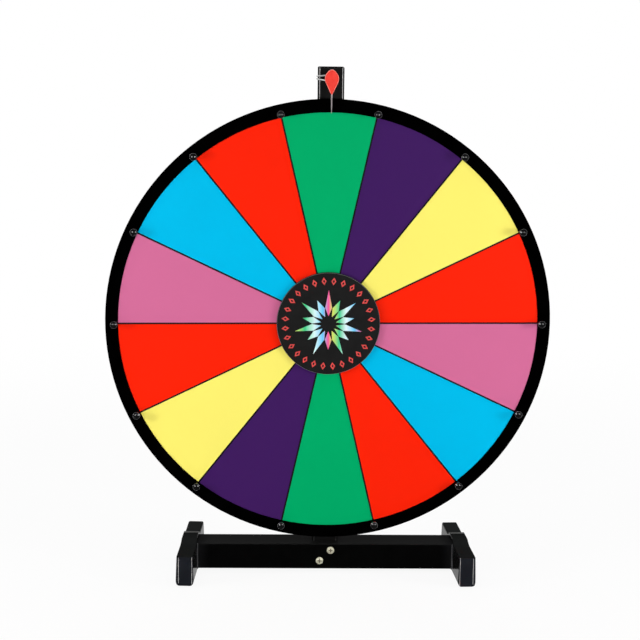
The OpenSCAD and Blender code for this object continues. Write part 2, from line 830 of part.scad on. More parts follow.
// Hub cap: a shallow moulded cover that stands on the panels, with three studs into the board
module hub_cap() {
    color("#1b1b1b") at_wheel() {
        translate([0, 0, panel_t]) rotate_extrude($fn = rim_fn) difference() {
            union() {
                square([hub_d / 2, hub_h - hub_round]);
                square([hub_d / 2 - hub_round, hub_h]);
                translate([hub_d / 2 - hub_round, hub_h - hub_round]) circle(hub_round, $fn = small_fn);
            }
            translate([-cut, -cut]) square([hub_d / 2 - 2 * hub_wall + cut, hub_h - hub_wall + cut]);
        }
        for (k = [0 : 2]) rotate(k * 120) translate([0, hub_stud_r, -hub_stud_in])
            cylinder(d = hub_stud_d, h = hub_stud_in + panel_t + hub_h - hub_wall / 2, $fn = small_fn);
    }
}

// Pointer

// Outline of the pointer, shrunk all round: a lens that runs out in a blunt end above and a slim one below
module drop(less = 0) {
    side_x = pointer_side_r - pointer_w / 2;
    translate([0, -pointer_low]) hull() {
        translate([0, pointer_top - pointer_top_r]) circle(pointer_top_r - less, $fn = small_fn);
        translate([0, pointer_low - pointer_len + pointer_end_r])
            circle(pointer_end_r - less, $fn = small_fn);
        intersection() {
            translate([-side_x, 0]) circle(pointer_side_r - less);
            translate([side_x, 0]) circle(pointer_side_r - less);
        }
    }
}

// Slot for the blade, in the lower end of plate and cover
module blade_slot() {
    translate([-blade_t / 2 - blade_play, -pointer_len - cut, blade_mid - blade_w / 2 - blade_play])
        cube([blade_t + 2 * blade_play, blade_in + cut + blade_play, blade_w + 2 * blade_play]);
}

// Back plate with the pivot's bore and the peg that the spring's legs hold
module pointer_plate() {
    color("#fc483a") at_pivot() difference() {
        union() {
            translate([0, 0, pointer_off]) linear_extrude(pointer_plate_t) drop();
            translate([catch_x, 0, catch_back]) cylinder(d = catch_d, h = pointer_off - catch_back + cut);
        }
        translate([0, 0, pointer_off - cut])
            cylinder(r = pivot_d / 2 + slip, h = pointer_plate_t + 2 * cut, $fn = small_fn);
        blade_slot();
    }
}

// Front cover, bevelled all round, hollow behind for the pivot bolt's head
module pointer_cover() {
    color("#fc483a") at_pivot() difference() {
        translate([0, 0, cover_back]) hull() {
            linear_extrude(pointer_cover_t - pointer_bevel) drop();
            linear_extrude(pointer_cover_t) drop(pointer_bevel);
        }
        translate([0, 0, cover_back - cut])
            cylinder(d = pivot_head + 1, h = cut + swing_play + pivot_head_h + swing_play, $fn = small_fn);
        blade_slot();
    }
}

// Blade: a thin springy tongue that tapers to its tip between the pegs
module pointer_blade() {
    tip = wheel_z + blade_tip_r - pivot_z;
    top = -pointer_len + blade_in;
    neck = -pointer_len;
    color("#d9d6d2") at_pivot() translate([0, 0, blade_mid - blade_w / 2]) linear_extrude(blade_w) polygon([
        [-blade_t / 2, top], [blade_t / 2, top], [blade_t / 2, neck], [blade_tip_t / 2, tip],
        [-blade_tip_t / 2, tip], [-blade_t / 2, neck]
    ]);
}

// Pivot bolt: its head lies in the cover, its thread runs through the post
module pivot_bolt() {
    tail = washer_t + nut_high_share * pivot_d + thread_end_share * pivot_d;
    color("#c9c9c9") at_pivot() translate([0, 0, head_seat])
        pan_screw(pivot_head, pivot_head_h, pivot_d, head_seat - post_front + post_d + tail);
}

// Stand-off tube between the nut on the post and the plate
module pivot_spacer() {
    color("#d6d4c6") at_pivot()
        ring(standoff_d / 2, pivot_d / 2 + slip, standoff_back, standoff_front, $fn = small_fn);
}

// Nuts of the pivot bolt on both sides of the post, the rear one with a washer
module pivot_nuts() {
    color("#d6d4c6") at_pivot() {
        translate([0, 0, post_front]) hex_nut(pivot_d);
        translate([0, 0, post_front - post_d]) mirror([0, 0, 1]) {
            washer(pivot_d);
            translate([0, 0, washer_t]) hex_nut(pivot_d);
        }
    }
}

// Pointer spring: one wire from hook to hook, wound round the stand-off in between

// Point of the coil at an angle, counted from where the lower leg joins it
function coil_point(turned) =
    let (a = turned - leg_angle)
    [spring_r * cos(a), coil_back_y - coil_len * turned / coil_sweep, spring_r * sin(a)];

// Corners of a leg from the coil outwards: side is 1 for the upper leg and -1 for the lower
function leg_corners(start, side) = [
    start,
    start + leg_start * [-sin(leg_angle), 0, side * cos(leg_angle)],
    [-hook_x, -post_d / 2 - hook_lead, side * hook_half],
    [-hook_x, -post_d / 2 + hook_len, side * hook_half]
];

// Rounded corner between two straight stretches
function bend(before, corner, after) = [
    for (i = [0 : bend_rings])
        let (
            t = i / bend_rings,
            a = corner + bend_share * (before - corner),
            b = corner + bend_share * (after - corner)
        )
        (1 - t) * (1 - t) * a + 2 * t * (1 - t) * corner + t * t * b
];

// Points of a leg after the coil's last point
function leg_points(c) = concat(bend(c[0], c[1], c[2]), bend(c[1], c[2], c[3]), [c[3]]);

function reversed(list) = [for (i = [len(list) - 1 : -1 : 0]) list[i]];

function wire_path() =
    let (
        rings = ceil(curl_rings * coil_sweep / 360),
        coil = [for (i = [0 : rings]) coil_point(coil_sweep * i / rings)],
        lower = leg_points(leg_corners(coil[0], -1)),
        upper = leg_points(leg_corners(coil[rings], 1))
    )
    concat(reversed(lower), coil, upper);

function unit(v) = v / norm(v);

// Direction of the path at a point
function heading(path, i) = unit(path[min(i + 1, len(path) - 1)] - path[max(i - 1, 0)]);

// Side vectors of the path, carried along without twist
function side_vectors(path) = [
    for (
        i = 0, n = unit(cross(heading(path, 0), [0, 0, 1]));
        i < len(path);
        i = i + 1,
        n = i < len(path) ? unit(n - (n * heading(path, i)) * heading(path, i)) : n
    ) n
];

// Least distance between stretches of the wire that aren't neighbours, less the wire
function least_gap(path, apart) = min([
    for (i = [0 : len(path) - 1 - apart], j = [i + apart : len(path) - 1]) norm(path[i] - path[j])
]) - wire_d;

module wire_tube(path) {
    count = len(path);
    sides = side_vectors(path);
    points = [
        for (i = [0 : count - 1], k = [0 : wire_sides - 1])
            let (other = cross(heading(path, i), sides[i]), a = 360 * k / wire_sides)
            path[i] + wire_d / 2 * (cos(a) * sides[i] + sin(a) * other)
    ];
    walls = [
        for (i = [0 : count - 2], k = [0 : wire_sides - 1], half = [0, 1])
            let (
                a = i * wire_sides + k,
                b = i * wire_sides + (k + 1) % wire_sides
            )
            half == 0 ? [a, a + wire_sides, b] : [b, a + wire_sides, b + wire_sides]
    ];
    last = (count - 1) * wire_sides;
    ends = [
        for (k = [1 : wire_sides - 2], half = [0, 1])
            half == 0 ? [0, k, k + 1] : [last, last + k + 1, last + k]
    ];
    polyhedron(points, concat(walls, ends));
}

module pointer_spring() {
    path = wire_path();
    echo(str("least gap of the spring's wire to itself, mm: ", least_gap(path, curl_rings - 2)));
    color("#d5d7da") translate([0, 0, pivot_z]) wire_tube(path);
}

crossbar();
foot_left();
foot_right();
foot_pads();
foot_screws();
post();
post_cap();
base_screws();
base_nuts();
axle_bolt();
axle_washers();
axle_nut();
bearing_inner_races();
bearing_spacer();
bearing_balls();
pivot_bolt();
pivot_spacer();
pivot_nuts();
pointer_spring();
wheel_board();
wheel_rim();
green_panels();
purple_panels();
yellow_panels();
red_panels();
pink_panels();
blue_panels();
pegs();
peg_screws();
bearing_housing();
housing_screws();
bearing_outer_races();
hub_cap();
pointer_plate();
pointer_cover();
pointer_blade();
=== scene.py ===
import math

import bmesh
import bpy
from mathutils import Matrix, Vector


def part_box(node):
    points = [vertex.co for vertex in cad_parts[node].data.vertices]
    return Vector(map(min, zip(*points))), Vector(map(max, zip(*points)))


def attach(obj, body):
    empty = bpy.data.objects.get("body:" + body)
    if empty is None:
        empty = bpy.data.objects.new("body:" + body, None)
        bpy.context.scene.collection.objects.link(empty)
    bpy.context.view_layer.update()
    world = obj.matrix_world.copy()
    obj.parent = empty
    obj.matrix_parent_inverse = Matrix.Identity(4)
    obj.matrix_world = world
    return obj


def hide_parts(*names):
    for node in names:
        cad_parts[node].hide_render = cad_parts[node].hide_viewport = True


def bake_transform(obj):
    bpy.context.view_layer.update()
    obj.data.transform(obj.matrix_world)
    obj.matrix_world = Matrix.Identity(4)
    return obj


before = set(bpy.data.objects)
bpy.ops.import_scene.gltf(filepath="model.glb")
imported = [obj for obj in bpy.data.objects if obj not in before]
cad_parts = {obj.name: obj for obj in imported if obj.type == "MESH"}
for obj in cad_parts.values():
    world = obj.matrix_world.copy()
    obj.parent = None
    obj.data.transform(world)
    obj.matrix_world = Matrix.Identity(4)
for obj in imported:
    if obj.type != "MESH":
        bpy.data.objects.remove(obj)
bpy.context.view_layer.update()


# Crossbar: a length of rectangular steel tube, drilled and then powder-coated black.
# Its ends are pushed into the feet, and the post stands in the slot in its top wall.
# Painted light: the top faces are painted paler, and so is the bar near each foot.

noise_span = (0.3, 0.7)
top_tilt = (0.3, 0.7)
bar_painted_light_from = 0.16
bar_painted_light_full = 0.181


def screen(red, green, blue):
    """A colour as a screen shows it, 0 to 255, in the linear values that a shader takes."""
    parts = [channel / 255 for channel in (red, green, blue)]
    return tuple(p / 12.92 if p < 0.04 else ((p + 0.055) / 1.055) ** 2.4 for p in parts)


def shader_of(surface):
    """The one shader of a material."""
    return surface.node_tree.nodes["Principled BSDF"]


def new_surface(name, colour, roughness, specular, metallic=0.0, coat=0.0):
    """A material with one shader. What is the same all over is set on the shader's own sockets.
    The coat is the share of a clear skin over it, which shines most at a glancing angle."""
    made = bpy.data.materials.new(name)
    made.use_nodes = True
    sockets = shader_of(made).inputs
    sockets["Base Color"].default_value = (*colour, 1)
    sockets["Roughness"].default_value = roughness
    sockets["Specular IOR Level"].default_value = specular
    sockets["Metallic"].default_value = metallic
    sockets["Coat Weight"].default_value = coat
    sockets["Coat Roughness"].default_value = roughness
    return made


def cloud(surface, scale, detail=3.0, stretch=(1, 1, 1)):
    """Noise over the piece's own metres, so that it stays with the piece when that turns."""
    tree = surface.node_tree
    place = tree.nodes.new("ShaderNodeTexCoord")
    pull = tree.nodes.new("ShaderNodeMapping")
    noise = tree.nodes.new("ShaderNodeTexNoise")
    pull.inputs["Scale"].default_value = stretch
    noise.inputs["Scale"].default_value = scale
    noise.inputs["Detail"].default_value = detail
    tree.links.new(place.outputs["Object"], pull.inputs["Vector"])
    tree.links.new(pull.outputs["Vector"], noise.inputs["Vector"])
    return noise.outputs["Fac"]


def spread(surface, amount, span, reach=(0.0, 1.0), soft=False):
    """The amount, taken from its span to a new reach. Soft eases it at both ends."""
    tree = surface.node_tree
    scale = tree.nodes.new("ShaderNodeMapRange")
    scale.interpolation_type = "SMOOTHSTEP" if soft else "LINEAR"
    scale.inputs["From Min"].default_value, scale.inputs["From Max"].default_value = span
    scale.inputs["To Min"].default_value, scale.inputs["To Max"].default_value = reach
    tree.links.new(amount, scale.inputs["Value"])
    return scale.outputs["Result"]


def shades(surface, amount, stops):
    """The colours that the surface takes along the amount, as stops of place and colour."""
    tree = surface.node_tree
    ramp = tree.nodes.new("ShaderNodeValToRGB")
    steps = ramp.color_ramp.elements
    while len(steps) < len(stops):
        steps.new(0.5)
    for step, (place, colour) in zip(steps, stops):
        step.position = place
        step.color = (*colour, 1)
    tree.links.new(amount, ramp.inputs["Fac"])
    tree.links.new(ramp.outputs["Color"], shader_of(surface).inputs["Base Color"])


def drift_colour(surface, pattern, first, second):
    """The colour drifts between two near shades with the pattern."""
    shades(surface, pattern, list(zip(noise_span, (first, second))))


def drift_gloss(surface, pattern, smooth, rough):
    """The roughness drifts between two values with the pattern."""
    drift = spread(surface, pattern, noise_span, (smooth, rough))
    surface.node_tree.links.new(drift, shader_of(surface).inputs["Roughness"])


def relief(surface, pattern, depth):
    """Fine relief of that depth, in metres."""
    tree = surface.node_tree
    bump = tree.nodes.new("ShaderNodeBump")
    bump.inputs["Distance"].default_value = depth
    tree.links.new(pattern, bump.inputs["Height"])
    tree.links.new(bump.outputs["Normal"], shader_of(surface).inputs["Normal"])


def reckon(surface, operation, first, second=0.0):
    """One sum in a material's nodes, on sockets or plain numbers."""
    tree = surface.node_tree
    step = tree.nodes.new("ShaderNodeMath")
    step.operation = operation
    for socket, value in zip(step.inputs, (first, second)):
        if isinstance(value, float):
            socket.default_value = value
        else:
            tree.links.new(value, socket)
    return step.outputs["Value"]


def parts_of(surface, what):
    """The three parts of the piece's own place, "Object", or of the way it faces, "Normal"."""
    tree = surface.node_tree
    place = tree.nodes.new("ShaderNodeTexCoord")
    axes = tree.nodes.new("ShaderNodeSeparateXYZ")
    tree.links.new(place.outputs[what], axes.inputs["Vector"])
    return axes.outputs["X"], axes.outputs["Y"], axes.outputs["Z"]


def faces_up(surface):
    """How far each face looks up: one for a level top, and nought for an upright side."""
    return parts_of(surface, "Normal")[2]


def paint_light_and_shade(surface, amount, span, colour):
    """Where the amount goes through that span, the colour gives way to another: painted light or
    shade.
    """
    tree = surface.node_tree
    shown = shader_of(surface).inputs["Base Color"]
    blend = tree.nodes.new("ShaderNodeMix")
    blend.data_type = "RGBA"
    blend.inputs["B"].default_value = (*colour, 1)
    tree.links.new(spread(surface, amount, span, soft=True), blend.inputs["Factor"])
    tree.links.new(shown.links[0].from_socket, blend.inputs["A"])
    tree.links.new(blend.outputs["Result"], shown)


def cover(surface, *names):
    """These pieces of the frame take that material."""
    for name in names:
        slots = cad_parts[name].data.materials
        slots.clear()
        slots.append(surface)


powder_coat = new_surface("powder_coat", screen(2, 2, 2), roughness=0.3, specular=0.0, coat=0.015)
drift_colour(powder_coat, cloud(powder_coat, 60), screen(1, 1, 1), screen(3, 3, 3))
drift_gloss(powder_coat, cloud(powder_coat, 140), smooth=0.36, rough=0.46)
relief(powder_coat, cloud(powder_coat, 1100, detail=2.0), depth=0.00004)
# Painted light: faces that look up are painted paler than the upright faces.
paint_light_and_shade(powder_coat, faces_up(powder_coat), top_tilt, screen(31, 31, 31))
# Painted light: the bar is painted paler towards each foot.
along_bar = reckon(powder_coat, "ABSOLUTE", parts_of(powder_coat, "Object")[0])
paint_light_and_shade(powder_coat, along_bar, (bar_painted_light_from, bar_painted_light_full), screen(23, 23, 24))
cover(powder_coat, "crossbar")


# Feet: two injection-moulded nylon feet, hollow underneath, sleeved over the crossbar's ends.
# The mould leaves a fine grain, a glossier inner side and rounded corners along the heel's top.
# Painted light and shade: plain grey tops, a paler heel top and darker inner sides, with painted
# highlights on the toe's upright corners and the collar's lip and a painted reflection on the
# crown's rear end.

heel_round = 0.0028
heel_from = 0.0245
heel_full = 0.0305
heel_cut_angles = (0, 15, 30)
heel_slices = 5
cut_play = 1e-6
level_play = 0.0001
side_tilt = 0.9
inner_tilt = (0.7, 0.95)
inner_gloss = 0.5
mask_span = (0.2, 0.8)
toe_highlight_half = 0.09
outer_lean = 0.16
inner_lean = -0.42
highlight_grey = screen(190, 188, 188)
collar_edge = 0.1796
collar_front = -0.0216
crown_low = 0.0488
crown_back = 0.0085


def paint_highlight_line(surface, off, half, colour):
    """A painted highlight: a narrow paler line, up to half its width from where that distance is
    nought.
    """
    paint_light_and_shade(surface, reckon(surface, "ABSOLUTE", off), (half, half / 3), colour)


def outward(surface, what):
    """How far to the stand's outside a place lies or a face looks, left and right alike."""
    side = reckon(surface, "SIGN", parts_of(surface, "Object")[0])
    return reckon(surface, "MULTIPLY", side, parts_of(surface, what)[0])


def paint_toe_highlight(surface, lean, colour):
    """A painted highlight down the upright corner that looks that much outwards; other faces are
    left.
    """
    above = reckon(surface, "ABSOLUTE", faces_up(surface))
    off = reckon(surface, "SUBTRACT", outward(surface, "Normal"), lean)
    off = reckon(surface, "ABSOLUTE", off)
    paint_highlight_line(surface, reckon(surface, "ADD", off, above), toe_highlight_half, colour)


def shine(surface, amount, span, most):
    """Where the amount rises through that span, the piece gets a clear skin."""
    skin = spread(surface, amount, span, (0.0, most))
    surface.node_tree.links.new(skin, shader_of(surface).inputs["Coat Weight"])


def put_in(name, data):
    """A new object in the scene."""
    made = bpy.data.objects.new(name, data)
    bpy.context.scene.collection.objects.link(made)
    return made


def piece_from(name, form, surface):
    """A new piece from a finished form, in that material."""
    mesh = bpy.data.meshes.new(name)
    form.to_mesh(mesh)
    form.free()
    mesh.materials.append(surface)
    return put_in(name, mesh)


def heel_corners(form):
    """A point on each long top corner of the heel, and the way that its side faces."""
    top = max(point.co.z for point in form.verts if point.co.y > heel_full)
    corners = []
    for hand in (-1, 1):
        sides = []
        for face in form.faces:
            high = [v.co for v in face.verts if v.co.y > heel_from and v.co.z > top - level_play]
            if hand * face.normal.x > side_tilt and len(high) > 1:
                sides.append((face.calc_area(), high[0].copy(), face.normal.copy()))
        corners.append(max(sides, key=lambda side: side[0])[1:])
    return corners


def moulded_foot(node, surface):
    """A foot with the long top corners of its heel rounded over, in place of the plain solid.
    Cuts beside the corners give it points, which are then drawn in onto the round."""
    form = bmesh.new()
    form.from_mesh(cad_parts[node].data)
    above = Vector((0, 0, 1))
    corners = heel_corners(form)
    cuts = []
    for angle in heel_cut_angles:
        inset = heel_round * (1 - math.tan(math.radians(angle)))
        cuts.append((corners[0][0] - inset * above, above))
        cuts += [(spot - inset * side, side) for spot, side in corners]
    for i in range(heel_slices + 1):
        slice_y = heel_from + (heel_full - heel_from) * i / heel_slices
        cuts.append((Vector((0, slice_y, 0)), Vector((0, 1, 0))))
    for place, way in cuts:
        whole = form.verts[:] + form.edges[:] + form.faces[:]
        bmesh.ops.bisect_plane(form, geom=whole, dist=cut_play, plane_co=place, plane_no=way)
    for point in form.verts:
        share = min(max((point.co.y - heel_from) / (heel_full - heel_from), 0), 1)
        radius = heel_round * share * share * (3 - 2 * share)
        for spot, side in corners:
            inside = (spot - point.co).dot(side) - radius
            below = (spot - point.co).dot(above) - radius
            off = math.hypot(inside, below)
            if inside < 0 and below < 0 and off > radius:
                point.co += (1 - radius / off) * (inside * side + below * above)
                break
    piece = piece_from(f"{node}_moulding", form, surface)
    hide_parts(node)
    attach(piece, "stand")


foot_plastic = new_surface("foot_plastic", screen(30, 32, 37), roughness=0.16, specular=0.0)
drift_colour(foot_plastic, cloud(foot_plastic, 45), screen(27, 29, 34), screen(33, 35, 40))
drift_gloss(foot_plastic, cloud(foot_plastic, 90), smooth=0.34, rough=0.46)
relief(foot_plastic, cloud(foot_plastic, 1600, detail=2.0), depth=0.00003)
back_by, up_by = parts_of(foot_plastic, "Object")[1:]

# Painted light: faces that look up are painted a plain grey, against the bluish grey elsewhere.
paint_light_and_shade(foot_plastic, faces_up(foot_plastic), top_tilt, screen(30, 31, 31))
# Painted shade: the inner sides, which face each other, are painted darker. Their clear skin is
# real gloss.
inward = reckon(foot_plastic, "MULTIPLY", outward(foot_plastic, "Normal"), -1.0)
paint_light_and_shade(foot_plastic, inward, inner_tilt, screen(15, 15, 15))
shine(foot_plastic, inward, inner_tilt, inner_gloss)
# Painted light: the top of the heel is painted paler.
on_heel = reckon(foot_plastic, "GREATER_THAN", back_by, heel_from)
heel_top = reckon(foot_plastic, "MULTIPLY", on_heel, faces_up(foot_plastic))
paint_light_and_shade(foot_plastic, heel_top, top_tilt, screen(42, 43, 43))
# Painted highlights: a pale line down each upright corner of the toe.
for toe_lean in (outer_lean, inner_lean):
    paint_toe_highlight(foot_plastic, toe_lean, highlight_grey)
# Painted highlight: a pale line along the collar's lip in front of the crossbar.
in_collar = reckon(foot_plastic, "LESS_THAN", outward(foot_plastic, "Object"), collar_edge)
before_bar = reckon(foot_plastic, "LESS_THAN", back_by, collar_front)
collar_highlight = reckon(foot_plastic, "MULTIPLY", in_collar, before_bar)
paint_light_and_shade(foot_plastic, collar_highlight, mask_span, screen(80, 80, 82))
# Painted reflection: the rear end of the crown is painted pale.
on_crown = reckon(foot_plastic, "GREATER_THAN", up_by, crown_low)
crown_rear = reckon(foot_plastic, "GREATER_THAN", back_by, crown_back)
crown_reflection = reckon(foot_plastic, "MULTIPLY", on_crown, crown_rear)
paint_light_and_shade(foot_plastic, crown_reflection, mask_span, screen(104, 104, 103))

cover(foot_plastic, "foot_left", "foot_right")
for node in ("foot_left", "foot_right"):
    moulded_foot(node, foot_plastic)


# Foot pads and foot screws: rubber pads let into the soles, and plated pan-head screws that
# hold each foot to the crossbar's lower wall.

pad_rubber = new_surface("pad_rubber", screen(20, 20, 20), roughness=0.85, specular=0.2)
drift_colour(pad_rubber, cloud(pad_rubber, 200), screen(16, 16, 16), screen(27, 26, 25))
relief(pad_rubber, cloud(pad_rubber, 900), depth=0.00008)
cover(pad_rubber, "foot_pads")

plain_zinc = new_surface("plain_zinc", screen(205, 206, 204), 0.34, 0.5, metallic=1.0)
drift_colour(plain_zinc, cloud(plain_zinc, 500), screen(188, 190, 190), screen(214, 214, 208))
drift_gloss(plain_zinc, cloud(plain_zinc, 700), smooth=0.26, rough=0.42)
relief(plain_zinc, cloud(plain_zinc, 2500, detail=2.0), depth=0.00001)
cover(plain_zinc, "foot_screws")


# Post: a second rectangular steel tube, coated like the crossbar, which stands on the
# crossbar's lower wall and carries the axle and the pointer. A moulded plug closes its top.
# Painted highlights run down its corners, bright from a tenth of a metre up and dim below that.

post_highlight_in = 0.0023
post_highlight_half = 0.0005
full_highlight_from = 0.1
post_low, post_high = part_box("post")


def beside_highlight(surface):
    """Distance from the painted highlight line along the front corner of the post."""
    aside = reckon(surface, "ABSOLUTE", parts_of(surface, "Object")[0])
    return reckon(surface, "SUBTRACT", aside, post_high.x - post_highlight_in)


post_coat = new_surface("post_coat", screen(11, 11, 12), roughness=0.3, specular=0.0, coat=0.04)
drift_colour(post_coat, cloud(post_coat, 50), screen(13, 13, 13), screen(17, 17, 17))
drift_gloss(post_coat, cloud(post_coat, 120), smooth=0.26, rough=0.36)
relief(post_coat, cloud(post_coat, 1100, detail=2.0), depth=0.00003)
# Painted highlights: a dim line along each corner, and a bright one from a tenth of a metre up.
paint_highlight_line(post_coat, beside_highlight(post_coat), post_highlight_half, screen(60, 60, 60))
too_low = reckon(post_coat, "LESS_THAN", parts_of(post_coat, "Object")[2], full_highlight_from)
highlight_off = reckon(post_coat, "ADD", beside_highlight(post_coat), too_low)
paint_highlight_line(post_coat, highlight_off, post_highlight_half, screen(215, 215, 215))
cover(post_coat, "post")

plug_plastic = new_surface("plug_plastic", screen(13, 13, 14), 0.5, specular=0.0, coat=0.05)
drift_colour(plug_plastic, cloud(plug_plastic, 150), screen(11, 11, 12), screen(15, 15, 16))
relief(plug_plastic, cloud(plug_plastic, 1400, detail=2.0), depth=0.00003)
# Painted highlight: the post's corner lines run on into the plug.
paint_highlight_line(plug_plastic, beside_highlight(plug_plastic), post_highlight_half, screen(180, 180, 180))
cover(plug_plastic, "post_cap")


# Base screws and nuts: two pan-head screws through crossbar and post, with washers and nuts
# on the back. The heads are plated a warm cream, and their recesses are painted darker as shade.

front_tilt = -0.9
screw_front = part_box("base_screws")[0].y
bar_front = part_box("crossbar")[0].y
recess_floor = (screw_front + bar_front) / 2

cream_zinc = new_surface("cream_zinc", screen(176, 173, 152), 0.42, 0.12, metallic=0.1)
drift_colour(cream_zinc, cloud(cream_zinc, 420), screen(168, 165, 142), screen(184, 182, 162))
drift_gloss(cream_zinc, cloud(cream_zinc, 650), smooth=0.42, rough=0.54)
relief(cream_zinc, cloud(cream_zinc, 2500, detail=2.0), depth=0.00001)
# Painted shade: the floors of the heads' recesses are painted darker.
sunk = reckon(cream_zinc, "GREATER_THAN", parts_of(cream_zinc, "Object")[1], recess_floor)
to_front = reckon(cream_zinc, "LESS_THAN", parts_of(cream_zinc, "Normal")[1], front_tilt)
recess_shade = reckon(cream_zinc, "MULTIPLY", sunk, to_front)
paint_light_and_shade(cream_zinc, recess_shade, mask_span, screen(96, 90, 74))
cover(cream_zinc, "base_screws")
cover(plain_zinc, "base_nuts")


# Axle: a plated bolt through the post, with its washers and a lock nut at the back.
# The turned shank shows fine rings round the axis, which runs front to back.

turning_marks = (0.05, 4, 0.05)

turned_steel = new_surface("turned_steel", screen(196, 198, 200), 0.28, 0.5, metallic=1.0)
drift_colour(turned_steel, cloud(turned_steel, 300), screen(184, 186, 189), screen(205, 206, 207))
drift_gloss(turned_steel, cloud(turned_steel, 500), smooth=0.2, rough=0.36)
relief(turned_steel, cloud(turned_steel, 900, 2.0, turning_marks), depth=0.00002)
cover(turned_steel, "axle_bolt", "bearing_spacer")
cover(plain_zinc, "axle_washers", "axle_nut")


# Bearings: two shielded ball bearings, side by side on the axle with a sleeve between them.
# Their races and balls are ground and polished steel.

ground_steel = new_surface("ground_steel", screen(190, 193, 197), 0.16, 0.5, metallic=1.0)
drift_colour(ground_steel, cloud(ground_steel, 400), screen(180, 183, 188), screen(198, 200, 203))
drift_gloss(ground_steel, cloud(ground_steel, 800), smooth=0.1, rough=0.22)
cover(ground_steel, "bearing_inner_races", "bearing_outer_races", "bearing_balls")


# Wheel board: a round of fibreboard, sawn, drilled and lacquered black. Its back has no panels
# and shows the lacquer's fine matt skin.

board_skin = new_surface("board_skin", screen(11, 11, 11), roughness=0.62, specular=0.03)
drift_colour(board_skin, cloud(board_skin, 25), screen(8, 8, 8), screen(14, 14, 14))
drift_gloss(board_skin, cloud(board_skin, 60), smooth=0.55, rough=0.7)
relief(board_skin, cloud(board_skin, 1300), depth=0.00004)
cover(board_skin, "wheel_board")


# Rim: a black plastic channel pressed over the board's edge, matt in front. Its lips grip the
# board on both faces, and the pegs' spigots and screws go through them.

rim_plastic = new_surface("rim_plastic", screen(1, 1, 1), roughness=0.4, specular=0.0)
drift_colour(rim_plastic, cloud(rim_plastic, 30), screen(0, 0, 0), screen(2, 2, 2))
drift_gloss(rim_plastic, cloud(rim_plastic, 80), smooth=0.44, rough=0.56)
relief(rim_plastic, cloud(rim_plastic, 1500, detail=2.0), depth=0.00002)
cover(rim_plastic, "wheel_rim")


# Panels: fourteen wipe-clean plastic sheets in six colours, cut as sectors and glued on the
# board. Wiping leaves faint clouds in their gloss, and the film has a slight orange peel.

panel_shade = 0.985
wiped_way = (1, 1, 2.5)
panel_colours = {
    "green": (0, 172, 104),
    "purple": (64, 29, 95),
    "yellow": (255, 243, 114),
    "red": (255, 36, 8),
    "pink": (212, 110, 154),
    "blue": (0, 189, 236),
}


def panel_film(name, colour):
    """A panel's film, from the colour that the panel shows."""
    film = new_surface(name, screen(*colour), roughness=0.36, specular=0.004)
    shade = [panel_shade * channel for channel in screen(*colour)]
    drift_colour(film, cloud(film, 9, detail=2.0), shade, screen(*colour))
    drift_gloss(film, cloud(film, 35, 4.0, wiped_way), smooth=0.3, rough=0.42)
    relief(film, cloud(film, 420, detail=2.0), depth=0.000015)
    return film


for colour_name, seen_colour in panel_colours.items():
    cover(panel_film(f"{colour_name}_film", seen_colour), f"{colour_name}_panels")


# Pegs: glossy black turned knobs on the seams, each drawn tight from the back by a small screw.
# The head is a low dome with an eased edge, on a slimmer stem with a collar.
# A painted highlight rings the eased edge.

wheel_low, wheel_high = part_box("wheel_rim")
wheel_mid = (wheel_low + wheel_high) / 2
knob_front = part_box("pegs")[0].y
peg_count = 14
peg_circle = 0.2921
peg_turn = 0.5
dome_r = 0.011
knob_half = 0.0051
knob_ease = 0.0006
head_t = 0.0056
stem_half = 0.0033
stem_t = 0.0114
collar_half = 0.0042
knob_t = 0.0124
dome_steps = 10
ease_steps = 5
knob_sides = 48
knob_crease = math.radians(40)
rim_lean = (0.15, 0.22)


def dome_depth(out):
    """How far the dome lies behind its tip, that far out from the middle."""
    return dome_r - math.sqrt(dome_r ** 2 - out ** 2)


dome_edge = knob_half - knob_ease
knob_line = []
for i in range(1, dome_steps + 1):
    out = dome_edge * i / dome_steps
    knob_line.append((out, dome_depth(out)))
for i in range(1, ease_steps + 1):
    bend = math.radians(90 * i / ease_steps)
    out = dome_edge + knob_ease * math.sin(bend)
    knob_line.append((out, dome_depth(dome_edge) + knob_ease * (1 - math.cos(bend))))
knob_line += [
    (knob_half, head_t),
    (stem_half, head_t),
    (stem_half, stem_t),
    (collar_half, stem_t),
    (collar_half, knob_t),
]

knobs = bmesh.new()
for k in range(peg_count):
    angle = math.radians(peg_turn) - 2 * math.pi * (k + 0.5) / peg_count
    centre = wheel_mid + peg_circle * Vector((-math.sin(angle), 0, math.cos(angle)))
    tip = knobs.verts.new((centre.x, knob_front, centre.z))
    rings = []
    for out, back in knob_line:
        ring = []
        for i in range(knob_sides):
            turn = 2 * math.pi * i / knob_sides
            across, up = out * math.cos(turn), out * math.sin(turn)
            ring.append(knobs.verts.new((centre.x + across, knob_front + back, centre.z + up)))
        rings.append(ring)
    for i in range(knob_sides):
        knobs.faces.new((tip, rings[0][i - 1], rings[0][i]))
    for near, far in zip(rings, rings[1:]):
        for i in range(knob_sides):
            knobs.faces.new((near[i - 1], far[i - 1], far[i], near[i]))
    knobs.faces.new(rings[-1])
bmesh.ops.recalc_face_normals(knobs, faces=knobs.faces)
for face in knobs.faces:
    face.smooth = True
for edge in knobs.edges:
    edge.smooth = edge.calc_face_angle(0) < knob_crease


def paint_rim_highlight(surface, colour):
    """A painted highlight on the edge round a front, where it leans halfway back."""
    square = reckon(surface, "POWER", parts_of(surface, "Normal")[1], 2.0)
    lean = reckon(surface, "MULTIPLY", square, reckon(surface, "SUBTRACT", 1.0, square))
    paint_light_and_shade(surface, lean, rim_lean, colour)


